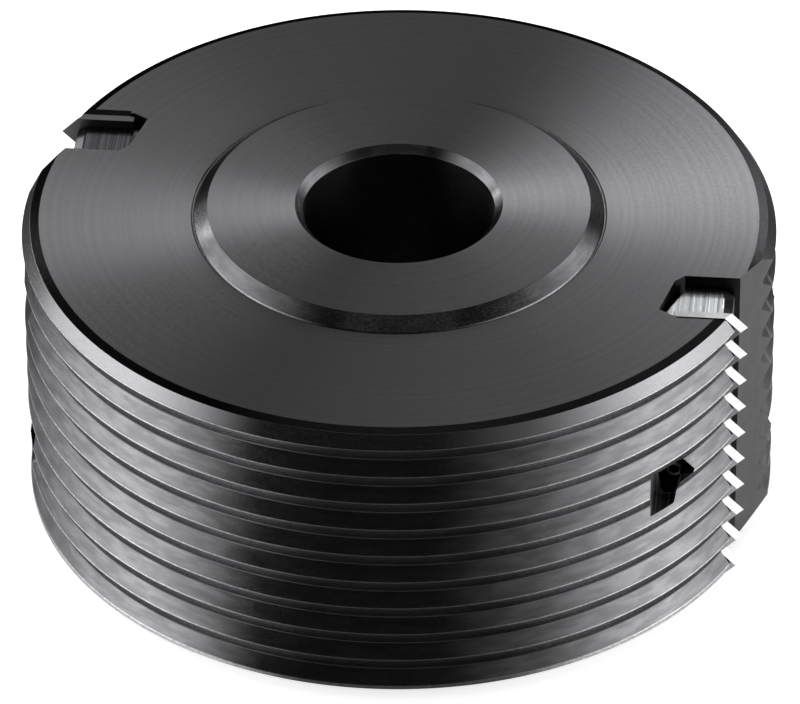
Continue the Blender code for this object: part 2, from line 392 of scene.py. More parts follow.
def mottle_group() -> NodeTree:
    """Make the group for a blotchy film: two sizes of noise, stretched level to run along the ridges."""
    group, sketch = new_group("mottle", {"Vector": None, "Size mm": 4.0, "Stretch": 1.0}, ["Mask", "Grain"])
    entry = sketch.add("NodeGroupInput")
    scale = sketch.sum("DIVIDE", 1.0 / MM, entry.outputs["Size mm"])
    tall = sketch.sum("MULTIPLY", scale, entry.outputs["Stretch"])
    factors = sketch.add("ShaderNodeCombineXYZ", {0: scale, 1: scale, 2: tall}).outputs[0]
    place = sketch.add("ShaderNodeVectorMath", {0: entry.outputs["Vector"], 1: factors}, operation="MULTIPLY")
    large = sketch.add("ShaderNodeTexNoise", {"Vector": place.outputs[0], "Scale": 1.0, "Detail": 4.0})
    small = sketch.add("ShaderNodeTexNoise", {"Vector": place.outputs[0], "Scale": 9.0, "Detail": 2.0})
    mask = sketch.band(large.outputs["Fac"], *MASK_RANGE)
    grain = sketch.band(small.outputs["Fac"], *GRAIN_RANGE)
    sketch.add("NodeGroupOutput", {"Mask": mask, "Grain": grain})
    return group


@dataclass(frozen=True)
class Groups:
    """The node groups that the finishes share."""

    marks: NodeTree
    mottle: NodeTree

    @classmethod
    def make(cls) -> Groups:
        """Build both groups once."""
        return cls(tool_marks_group(), mottle_group())

    def lined(self, sketch: Sketch, along: NodeSocket, lines: float) -> bpy_prop_collection:
        """Add tool marks along a coordinate, so many to the millimetre, and return their outputs."""
        inputs = {"Coordinate": along, "Lines per mm": lines}
        return sketch.add("ShaderNodeGroup", inputs, node_tree=self.marks).outputs

    def filmed(
        self, sketch: Sketch, place: NodeSocket, size: float, stretch: float = 1.0
    ) -> bpy_prop_collection:
        """Add a film of a size in millimetres, perhaps stretched level, and return its outputs."""
        inputs = {"Vector": place, "Size mm": size, "Stretch": stretch}
        return sketch.add("ShaderNodeGroup", inputs, node_tree=self.mottle).outputs


@dataclass(frozen=True)
class Finish:
    """A metal finish with a grey base, its gloss and how strongly it shows tool marks."""

    name: str
    base: tuple[float, float, float]
    roughness: float
    mark_depth: float = 0.004 * MM
    anisotropy: float = 0.0
    anisotropic_turn: float = 0.25
    edge_tint: float = 1.0

    def tone(self, share: float = 1.0) -> tuple[float, float, float, float]:
        """Return the base, lighter or darker by a share, with full alpha."""
        return (*(share * channel for channel in self.base), 1.0)

    def start(self) -> tuple[Material, Sketch, Node, NodeSocket]:
        """Make the material with its shader, and return what its nodes start from."""
        material, sketch, shader = new_material(self.name)
        shader.inputs["Metallic"].default_value = 1.0
        shader.inputs["Anisotropic"].default_value = self.anisotropy
        shader.inputs["Anisotropic Rotation"].default_value = self.anisotropic_turn
        shader.inputs["Specular Tint"].default_value = grey(self.edge_tint)
        place = sketch.add("ShaderNodeTexCoord").outputs["Object"]
        return material, sketch, shader, place

    def finish(
        self, sketch: Sketch, shader: Node, colour: NodeSocket, roughness: NodeSocket, height: NodeSocket
    ) -> None:
        """Link the colour, the roughness and the bump to the shader."""
        links = sketch.tree.links
        bump = sketch.add("ShaderNodeBump", {"Strength": 1.0, "Distance": self.mark_depth, "Height": height})
        links.new(colour, shader.inputs["Base Color"])
        links.new(roughness, shader.inputs["Roughness"])
        links.new(bump.outputs["Normal"], shader.inputs["Normal"])


@dataclass(frozen=True)
class TurnedSteel(Finish):
    """Darkened steel with lathe lines round the axis, a streaky film, and crests brighter as wear and painted
    highlight.

    Radii, heights and sizes are in millimetres. A tone is a share of the base. The level, bevel, lower and
    first ranges are of the normal's z.
    """

    crest_wear_and_highlight: tuple[float, float, float] = (0.62, 0.62, 0.63)
    crest_radius: float = 58.9
    wear_and_highlight_width: float = 0.11
    least_wear_and_highlight: float = 0.45
    first_flank_height: float = 47.65
    first_flank_blur: float = 0.1
    first_flank_insets: tuple[float, float] = (3.0, 2.0)
    fine_roughness: float = 0.2
    film_roughness: tuple[float, float] = (-0.03, 0.05)
    height_share: float = 1.7
    lines: float = 4.0
    film_size: float = 5.0
    film_stretch: float = 5.0
    film_relief: float = 0.35
    film_tone: float = 1.45
    rubbed_tone: float = 1.5
    rubbed_share: float = 0.18
    level_range: tuple[float, float] = (0.97, 0.995)
    bevel_range: tuple[float, float] = (0.6, 0.95)
    bevel_shade_tone: float = 0.15
    lower_range: tuple[float, float] = (-0.45, -0.3)
    lower_reflection_tone: float = 2.4
    first_range: tuple[float, float] = (0.8, 0.9)
    first_tone: float = 1.7

    def build(self, groups: Groups) -> Material:
        """Make the material.

        Lathe lines follow radius + height share * height, which is constant along each turned circle. The
        normal's z tells the faces apart. The level ones, near 1, are rougher and have no film. The bevels,
        just below 1, are darker: painted shade for the dark surroundings that they mirror. The ridges' lower
        flanks, below 0, are paler: a painted reflection of the pale floor. The first flank, above its own
        height, is paler too. Wear and painted highlight are where the radius comes close to the crest's.

        Args:
            groups: The node groups that the finishes share.

        Returns:
            The new material.
        """
        material, sketch, shader, place = self.start()
        axes = sketch.add("ShaderNodeSeparateXYZ", {0: place}).outputs
        flat = sketch.add("ShaderNodeCombineXYZ", {0: axes[0], 1: axes[1]}).outputs[0]
        radius = sketch.add("ShaderNodeVectorMath", {0: flat}, operation="LENGTH").outputs["Value"]
        radius = sketch.sum("DIVIDE", radius, MM)
        height = sketch.sum("DIVIDE", axes[2], MM)
        along = sketch.sum("ADD", radius, sketch.sum("MULTIPLY", height, self.height_share))
        marks = groups.lined(sketch, along, self.lines)
        film = groups.filmed(sketch, place, self.film_size, self.film_stretch)
        normal = sketch.add("ShaderNodeTexCoord").outputs["Normal"]
        upward = sketch.add("ShaderNodeSeparateXYZ", {0: normal}).outputs[2]
        level = sketch.band(upward, *self.level_range)
        side = sketch.sum("SUBTRACT", 1.0, level)
        filmed = sketch.sum("MULTIPLY", film["Mask"], side)
        colour = sketch.blend(filmed, self.tone(), self.tone(self.film_tone))
        rubbed = sketch.sum("MULTIPLY", sketch.band(marks["Broad"], *MARK_RANGE), self.rubbed_share)
        colour = sketch.blend(rubbed, colour, self.tone(self.rubbed_tone))
        # Painted shade: the bevels are darkened for the dark surroundings that they mirror.
        bevel = sketch.times(sketch.band(upward, *self.bevel_range), side)
        colour = sketch.blend(bevel, colour, self.tone(self.bevel_shade_tone))
        # Painted reflection: the lower flanks are paled for the pale floor that they mirror.
        lower = sketch.band(upward, *self.lower_range, 1.0, 0.0)
        colour = sketch.blend(lower, colour, self.tone(self.lower_reflection_tone))
        # The first flank, above its height and near the crest's radius, is paled towards the first tone.
        first_flank = sketch.band(height, self.first_flank_height, self.first_flank_height + self.first_flank_blur)
        first_flank = sketch.times(first_flank, sketch.band(upward, *self.first_range, 1.0, 0.0))
        outer = sketch.band(radius, *(self.crest_radius - inset for inset in self.first_flank_insets))
        colour = sketch.blend(sketch.times(first_flank, outer), colour, self.tone(self.first_tone))
        # Wear and painted highlight: the crests are brightened towards a paler colour.
        crest = sketch.band(radius, self.crest_radius - self.wear_and_highlight_width, self.crest_radius)
        wear_and_highlight = sketch.times(crest, side, sketch.band(film["Grain"], 0.0, 1.0, self.least_wear_and_highlight, 1.0))
        colour = sketch.blend(wear_and_highlight, colour, (*self.crest_wear_and_highlight, 1.0))
        rough = sketch.band(level, 0.0, 1.0, self.fine_roughness, self.roughness)
        rough = sketch.sum("ADD", rough, sketch.band(film["Grain"], 0.0, 1.0, *self.film_roughness))
        grain = sketch.times(film["Grain"], side, self.film_relief)
        self.finish(sketch, shader, colour, rough, sketch.sum("ADD", marks["Height"], grain))
        tangent = sketch.add("ShaderNodeTangent", direction_type="RADIAL", axis="Z")
        sketch.tree.links.new(tangent.outputs[0], shader.inputs["Tangent"])
        return material


@dataclass(frozen=True)
class MachinedSteel(Finish):
    """Steel with straight tool marks across one level or upright direction; perhaps painted shade at its
    outer end.
    """

    across: tuple[float, float, float] = (math.cos(KNIFE_TURN), math.sin(KNIFE_TURN), 0.0)
    lines: float = 3.0
    deep: float = 0.72
    film_size: float = 3.0
    film_share: float = 0.25
    film_roughness: tuple[float, float] = (-0.02, 0.03)
    end: float | None = None
    end_shade_tone: float = 0.35
    end_ragged: float = 0.25
    end_blur: float = 0.08

    def build(self, groups: Groups) -> Material:
        """Make the material.

        The marks' coordinate is the dot product of the place with their cross direction, in millimetres. The
        painted shade on the outer end is where its size, roughened by noise, passes the end's.

        Args:
            groups: The node groups that the finishes share.

        Returns:
            The new material.
        """
        material, sketch, shader, place = self.start()
        along = sketch.add("ShaderNodeVectorMath", {0: place, 1: self.across}, operation="DOT_PRODUCT")
        along = sketch.sum("DIVIDE", along.outputs["Value"], MM)
        marks = groups.lined(sketch, along, self.lines)
        film = groups.filmed(sketch, place, self.film_size)
        dark = self.tone(self.deep)
        colour = sketch.blend(sketch.band(marks["Height"], *MARK_RANGE), dark, self.tone())
        colour = sketch.blend(sketch.sum("MULTIPLY", film["Mask"], self.film_share), colour, dark)
        # Painted shade: the outer end is darkened towards the end's tone.
        if self.end:
            ragged = sketch.times(film["Grain"], self.end_ragged)
            out = sketch.sum("ADD", sketch.sum("ABSOLUTE", along), ragged)
            shaded_end = sketch.band(out, self.end, self.end + self.end_blur)
            colour = sketch.blend(shaded_end, colour, self.tone(self.end_shade_tone))
        spread = (self.roughness + change for change in self.film_roughness)
        rough = sketch.band(film["Mask"], 0.0, 1.0, *spread)
        self.finish(sketch, shader, colour, rough, marks["Height"])
        return material


@dataclass(frozen=True)
class OxideSteel(Finish):
    """Screw steel with a blotchy film."""

    rubbed: tuple[float, float, float] = (0.16, 0.155, 0.15)
    film_size: float = 1.2
    film_share: float = 0.4
    film_roughness: tuple[float, float] = (-0.05, 0.1)

    def build(self, groups: Groups) -> Material:
        """Make the material.

        The film's mask moves the base towards the rubbed colour.

        Args:
            groups: The node groups that the finishes share.

        Returns:
            The new material.
        """
        material, sketch, shader, place = self.start()
        film = groups.filmed(sketch, place, self.film_size)
        light = sketch.sum("MULTIPLY", film["Mask"], self.film_share)
        colour = sketch.blend(light, self.tone(), (*self.rubbed, 1.0))
        spread = (self.roughness + change for change in self.film_roughness)
        rough = sketch.band(film["Grain"], 0.0, 1.0, *spread)
        self.finish(sketch, shader, colour, rough, film["Grain"])
        return material


# The cutter head


@dataclass
class KnifeSeat:
    """What is cut into the body for one knife: pocket, flat ahead of it, recess and screw holes.

    The recess has two outlines round the screw's axis, in millimetres along u and z: a shallow one, and a
    deep one inside it.
    """

    near: float = -23.8 * MM
    far: float = -13.3 * MM
    inner: float = 42.052 * MM
    lean: float = 2.0 * MM
    near_corner: float = 1.4 * MM
    near_bevel: float = 0.65 * MM
    far_corner: float = 1.5 * MM
    knife_end: float = 44.202 * MM
    flat_distance: float = 54.1 * MM
    flat_turn: float = math.radians(-27.5)
    outside: float = 62.0 * MM
    overcut: float = 2.0 * MM
    body_height: float = 50.0 * MM
    rear_u: float = 45.232 * MM
    rear_z: float = 25.0 * MM
    rear_radius: float = 1.6 * MM
    rear_start: float = -33.2 * MM
    recess_floor: float = -33.9 * MM
    recess_depth: float = -30.0 * MM
    recess_corner: float = 0.3 * MM
    recess_shallow: tuple[tuple[float, float], ...] = (
        (-3.05, -1.45), (0.4, -1.45), (1.3, 2.2), (3.7, 2.4), (1.05, 5.8), (-3.05, 6.0),
    )
    recess_deep: tuple[tuple[float, float], ...] = (
        (-1.95, 0.6), (-1.85, -0.6), (-1.2, -1.35), (0.35, -1.35),
        (1.25, 2.3), (3.6, 2.5), (1.0, 5.7), (-2.9, 5.8),
    )
    front_u: float = 48.602 * MM
    front_face: float = -13.95 * MM
    front_turn: float = math.radians(67.5)
    front_heights: tuple[float, float] = (11.2 * MM, 38.8 * MM)
    front_radius: float = 4.3 * MM

    def pocket(self) -> Object:
        """Make the tool for the pocket."""
        far_inner = self.inner + self.lean
        outline = np.array([
            (self.inner, self.near + self.near_corner),
            (self.knife_end, self.near),
            (self.outside, self.near),
            (self.outside, self.far),
            (far_inner + self.far_corner, self.far),
            (far_inner, self.far - self.far_corner),
        ])
        points, faces = swept_outline(outline, -self.overcut, self.body_height + self.overcut)
        return new_object("pocket", points, faces)

    def rear_edge(self) -> Object:
        """Make the tool for the bevel along the pocket's rear edge, a three-sided bar that lies along u."""
        spare = self.overcut / 4
        top, width = self.body_height, self.near_bevel
        outline = np.array([
            (self.near - width - spare, top + spare),
            (self.near + spare, top - width - spare),
            (self.near + spare, top + spare),
        ])
        points, faces = swept_outline(outline, self.knife_end + self.near_bevel, self.outside)
        return cleaned(new_object("rear_edge", np.roll(points, 1, axis=1), faces))

    def flat(self) -> Object:
        """Make the tool for the flat: square to a direction in plan, at a distance from the axis."""
        normal = np.array([math.cos(self.flat_turn), math.sin(self.flat_turn)])
        along = np.array([-normal[1], normal[0]])
        corner = np.array([(self.flat_distance - normal[1] * self.far) / normal[0], self.far])
        start = corner - along * self.overcut
        end = start + along * self.outside / 2
        out = normal * self.outside / 2
        outline = np.array([start, start + out, end + out, end])
        points, faces = swept_outline(outline, -self.overcut, self.body_height + self.overcut)
        return new_object("flat", points, faces)

    def recess(self, corners: tuple[tuple[float, float], ...], floor: float) -> Object:
        """Make the tool for one depth of the recess.

        Args:
            corners: One of its outlines.
            floor: Where its floor lies on v.

        Returns:
            The tool, which reaches out past the ridges.
        """
        place = np.array(corners) * MM + [self.rear_u, self.rear_z]
        outline = rounded(place, np.full(len(corners), self.recess_corner))
        points, faces = swept_outline(outline, -floor, self.outside)
        return cleaned(new_object("recess", upright(points), faces))

    def rear_hole(self) -> Object:
        """Make the tool for the rear screw's hole, which starts inside the recess, short of the ridges."""
        reach, radius = self.near + self.overcut - self.rear_start, self.rear_radius
        section = np.array([(0.0, reach), (radius, reach), (radius, 0.0), (0.0, 0.0)])
        start = Vector((self.rear_u, self.rear_start, self.rear_z))
        return self.round_tool(section, start, Vector((0.0, 1.0, 0.0)))

    def front_hole(self, height: float) -> Object:
        """Make the tool for one front screw's hole."""
        line = Vector((math.cos(self.front_turn), math.sin(self.front_turn), 0.0))
        start = Vector((self.front_u, self.front_face, height)) - line * self.overcut
        radius = self.front_radius
        section = np.array([(0.0, self.outside), (radius, self.outside), (radius, 0.0), (0.0, 0.0)])
        return self.round_tool(section, start, line)

    def round_tool(self, section: np.ndarray, start: Vector, direction: Vector) -> Object:
        """Turn a section round an axis that runs from a point along a direction."""
        tool = cleaned(new_object("hole", *turned_surface(section, ROUND_SEGMENTS)))
        tool.data.transform(Matrix.Translation(start) @ pointing(direction))
        return tool

    def tools(self, station: Station, milled: Material, lined: Material, dark: Material) -> list[Object]:
        """Make every tool of a station in the head's own frame.

        Args:
            station: Where the tools go.
            milled: The finish that most of them leave behind.
            lined: The finish of the shallow recess.
            dark: The finish of the deep recess and of the rear hole.

        Returns:
            The tools, in the order in which they cut.
        """
        made = [paint(tool, milled) for tool in (self.pocket(), self.rear_edge(), self.flat())]
        made += [paint(self.recess(self.recess_shallow, self.recess_floor), lined)]
        made += [paint(self.recess(self.recess_deep, self.recess_depth), dark), paint(self.rear_hole(), dark)]
        made += [paint(self.front_hole(height), milled) for height in self.front_heights]
        for tool in made:
            tool.data.transform(station.frame)
        return made


@dataclass
class RidgedBody:
    """The turned steel body with its hub, its bore and ten V ridges."""

    bore_radius: float = 15.0 * MM
    bore_bevel: float = 1.2 * MM
    height: float = 50.0 * MM
    hub_rise: float = 1.85 * MM
    hub_top: float = 29.9 * MM
    hub_bevel: float = 2.0 * MM
    groove_width: float = 0.55 * MM
    groove_depth: float = 0.25 * MM
    groove_floor: tuple[float, float] = (0.3, 0.7)
    top_face: float = 56.15 * MM
    top_drop: float = 0.4 * MM
    crest: float = 58.9 * MM
    depth: float = 1.33 * MM
    pitch: float = 5.0 * MM
    ridges: int = 10
    foot_land: float = 0.6 * MM
    foot_face: float = 56.1 * MM
    edge: float = 0.08 * MM
    crest_edge: float = 0.11 * MM
    root_edge: float = 0.36 * MM
    seat: KnifeSeat = field(default_factory=KnifeSeat)

    def section(self) -> np.ndarray:
        """Return the closed section.

        The ridges are a zigzag: crest k lies at height - (k + 1/2) * pitch and root k half a pitch below it.
        Each corner is rounded by its own radius.
        """
        top = self.height + self.hub_rise
        foot = self.hub_top + self.hub_bevel
        upper = [
            (self.bore_radius, top - self.bore_bevel),
            (self.bore_radius + self.bore_bevel, top),
            (self.hub_top, top),
            (foot, self.height),
            (foot + self.groove_width * self.groove_floor[0], self.height - self.groove_depth),
            (foot + self.groove_width * self.groove_floor[1], self.height - self.groove_depth),
            (foot + self.groove_width, self.height),
            (self.top_face, self.height),
            (self.crest - self.depth, self.height - self.top_drop),
        ]
        step = np.arange(2 * self.ridges - 1)
        radius = np.where(step % 2 == 0, self.crest, self.crest - self.depth)
        level = self.height - (step + 1) * self.pitch / 2
        zigzag = np.column_stack([radius, level])
        land = level[-1] - self.foot_land
        lower = [
            (self.crest, land),
            (self.foot_face, 0.0),
            (self.bore_radius + self.bore_bevel, 0.0),
            (self.bore_radius, self.bore_bevel),
        ]
        corners = np.vstack([upper, zigzag, lower])
        edges = np.where(step % 2 == 0, self.crest_edge, self.root_edge)
        radii = np.concatenate([np.full(len(upper), self.edge), edges, np.full(len(lower), self.edge)])
        line = rounded(corners, radii)
        return np.vstack([line, line[:1]])

    def build(self, turned: Material, milled: Material, lined: Material, dark: Material) -> None:
        """Turn the body, cut both stations into it and dress it."""
        body = cleaned(new_object("ridged_body", *turned_surface(self.section(), TURNED_SEGMENTS)))
        paint(body, turned)
        for station in Station:
            carve(body, self.seat.tools(station, milled, lined, dark))
        shade(body)
        dress(body, "body_steel", "cutter_body")


@dataclass
class ClampWedge:
    """The wedge that holds a knife, with its inner end leaning outwards."""

    near: float = -21.8 * MM
    far: float = -13.95 * MM
    inner: float = 42.502 * MM
    lean: float = 3.4 * MM
    outer: float = 53.282 * MM
    low: float = 1.8 * MM
    high: float = 48.2 * MM
    bevel_width: float = 1.5 * MM
    bevel_drop: float = 0.95 * MM
    edge: float = 0.12 * MM

    def build(self, station: Station, material: Material) -> None:
        """Make the wedge: its side's outline from near to far, with the inner end moved out with depth."""
        outline = np.array([
            (self.inner, self.low),
            (self.outer - self.bevel_width, self.low),
            (self.outer, self.low + self.bevel_drop),
            (self.outer, self.high - self.bevel_drop),
            (self.outer - self.bevel_width, self.high),
            (self.inner, self.high),
        ])
        points, faces = swept_outline(outline, -self.far, -self.near)
        points = upright(points)
        inner = points[:, 0] < (self.inner + self.outer) / 2
        points[:, 0] += inner * self.lean * (points[:, 1] - self.near) / (self.far - self.near)
        wedge = cleaned(new_object("wedge_%s" % station.tag, points, faces))
        wedge.data.transform(station.frame)
        soften(wedge, self.edge)
        shade(wedge)
        dress(paint(wedge, material), "wedge_steel", "wedge_%d" % station.value)


@dataclass
class ToothedKnife:
    """The thin toothed knife, whose solid has the right shape and gets its ground finish."""

    def build(self, station: Station, frame: dict, material: Material) -> None:
        """Dress the knife's own solid."""
        node = frame["nodes"]["knife_%d" % station.value]
        for holder in node.material_slots:
            holder.material = material
        LOG.info("dressed %s", node.name)


@dataclass
class SocketScrew:
    """A headless screw with a hexagon socket, a bevelled end and a point."""

    radius: float
    length: float
    socket: float
    socket_depth: float
    edge: float
    point: float
    mouth_margin: float = 0.1
    mouth_slope: float = 0.6
    drill_slope: float = 0.35
    floor_share: float = 0.98
    edge_share: float = 0.3
    inside_share: float = 1.005

    @property
    def corner(self) -> float:
        """The radius of the hexagon's corners."""
        return self.socket / math.sqrt(3.0)

    def rings(self) -> list[tuple[np.ndarray, np.ndarray]]:
        """Return the rings from the socket's floor out over the end and down to the point.

        Each ring is a radius and a height at every angle. The hexagon meets the round mouth of the socket
        where the mouth's cone has the hexagon's radius.
        """
        angle = equal_angles(ROUND_SEGMENTS)
        flat = np.ones(ROUND_SEGMENTS)
        hexagon = hexagon_radius(angle, self.socket)
        mouth = self.corner + self.mouth_margin * self.socket
        top, share = self.length, self.edge_share
        made = [
            (0.0 * flat, top - self.socket_depth - self.corner * self.drill_slope),
            (hexagon * self.floor_share, top - self.socket_depth),
            (hexagon, top - self.socket_depth),
            (hexagon, top - (mouth - hexagon) * self.mouth_slope),
            (mouth * flat, top),
            ((self.radius - self.edge) * flat, top),
            ((self.radius - share * self.edge) * flat, top - share * self.edge),
            (self.radius * flat, top - self.edge),
            (self.radius * flat, self.radius - self.point),
            (self.point * flat, 0.0),
            (0.0 * flat, 0.0),
        ]
        return [(radius, height * flat) for radius, height in made]

    def build(
        self, name: str, tip: Vector, line: Vector, station: Station, finishes: tuple[Material, Material],
        node: str,
    ) -> None:
        """Make the screw from its rings, aim it and dress it.

        The second finish goes on the socket's walls and floor: the faces in the upper half whose centres are
        nearer to the axis than the hexagon's corners. On the bright screw it is darker, as painted shade in
        the socket.

        Args:
            name: The piece's name.
            tip: Where its point goes, in the station's frame.
            line: The direction from its point to its socket.
            station: The station that it belongs to.
            finishes: The finish outside, and the one inside the socket.
            node: The solid that it stands for.
        """
        angle = equal_angles(ROUND_SEGMENTS)
        rows = [np.column_stack([r * np.cos(angle), r * np.sin(angle), h]) for r, h in self.rings()]
        faces = turned_surface(np.zeros((len(rows), 2)), ROUND_SEGMENTS)[1]
        screw = cleaned(new_object(name, np.vstack(rows), faces))
        centre = np.empty(3 * len(screw.data.polygons))
        screw.data.polygons.foreach_get("center", centre)
        across, along = np.hypot(centre[0::3], centre[1::3]), centre[2::3]
        # Painted shade: these faces inside the socket take the second finish.
        inside = (across < self.inside_share * self.corner) & (along > self.length / 2)
        paint(screw, finishes[0]).data.materials.append(finishes[1])
        screw.data.polygons.foreach_set("material_index", inside.astype(np.int32))
        screw.data.transform(station.frame @ Matrix.Translation(tip) @ pointing(line))
        shade(screw)
        dress(screw, "screw_steel", node)


@dataclass
class ScrewSet:
    """The screws of one station: one behind the knife and two in front of the wedge."""

    seat: KnifeSeat = field(default_factory=KnifeSeat)
    gap: float = 0.3 * MM
    rear: SocketScrew = field(default_factory=lambda: SocketScrew(
        radius=1.3 * MM, length=6.0 * MM, socket=1.5 * MM, socket_depth=1.8 * MM, edge=0.25 * MM,
        point=1.1 * MM,
    ))
    front: SocketScrew = field(default_factory=lambda: SocketScrew(
        radius=4.0 * MM, length=12.0 * MM, socket=4.0 * MM, socket_depth=2.4 * MM, edge=0.5 * MM,
        point=2.75 * MM,
    ))

    def build(self, station: Station, bright: Material, dark: Material) -> None:
        """Make the bright screw behind the knife and the two dark ones in front of the wedge."""
        seat, number = self.seat, station.value
        tip = Vector((seat.rear_u, seat.near, seat.rear_z))
        back = Vector((0.0, -1.0, 0.0))
        name = "rear_screw_%s" % station.tag
        self.rear.build(name, tip, back, station, (bright, dark), "rear_screw_%d" % number)
        line = Vector((math.cos(seat.front_turn), math.sin(seat.front_turn), 0.0))
        lean = self.front.point / math.tan(seat.front_turn) + self.gap / math.sin(seat.front_turn)
        for level, height in zip(("lower", "upper"), seat.front_heights):
            tip = Vector((seat.front_u, seat.front_face, height)) + line * lean
            name = "front_screw_%s_%s" % (station.tag, level)
            node = "front_screw_%d_%s" % (number, level)
            self.front.build(name, tip, line, station, (dark, dark), node)


# The studio


@dataclass
class Lamp:
    """A soft lamp, by its direction from the head: degrees to the right of the camera, and upwards."""

    name: str
    bearing: float
    elevation: float
    distance: float
    width: float
    tall: float
    power: float

    def build(self, target: Vector) -> None:
        """Hang the lamp and face it to the target."""
        bearing, rise = math.radians(self.bearing), math.radians(self.elevation)
        level = Vector((math.sin(bearing), -math.cos(bearing), 0.0))
        out = level * math.cos(rise) + Vector((0.0, 0.0, math.sin(rise)))
        data = bpy.data.lights.new(self.name, "AREA")
        data.shape = "RECTANGLE"
        data.size, data.size_y = self.width, self.tall
        data.energy = self.power
        lamp = bpy.data.objects.new(self.name, data)
        lamp.location = target + out * self.distance
        lamp.rotation_euler = out.to_track_quat("Z", "Y").to_euler()
        bpy.context.scene.collection.objects.link(lamp)


@dataclass(frozen=True)
class Panel:
    """A pale panel in the surroundings with soft edges.

    Its bearings, in degrees to the right of the camera, and its elevations are each four figures: where the
    panel starts to show, where it is full, where it starts to fade and where it ends.
    """

    name: str
    bearings: tuple[float, float, float, float]
    elevations: tuple[float, float, float, float]
    strength: float

    def glow(self, sketch: Sketch, bearing: NodeSocket, rise: NodeSocket) -> NodeSocket:
        """Return the panel's brightness in a direction: its four soft edges times its strength."""
        middle = (self.bearings[0] + self.bearings[3]) / 2
        turned = sketch.sum("WRAP", sketch.sum("SUBTRACT", bearing, middle), 180.0, -180.0)
        edges = [edge - middle for edge in self.bearings]
        return sketch.times(
            sketch.band(turned, edges[0], edges[1]),
            sketch.band(turned, edges[2], edges[3], 1.0, 0.0),
            sketch.band(rise, self.elevations[0], self.elevations[1]),
            sketch.band(rise, self.elevations[2], self.elevations[3], 1.0, 0.0),
            self.strength,
        )


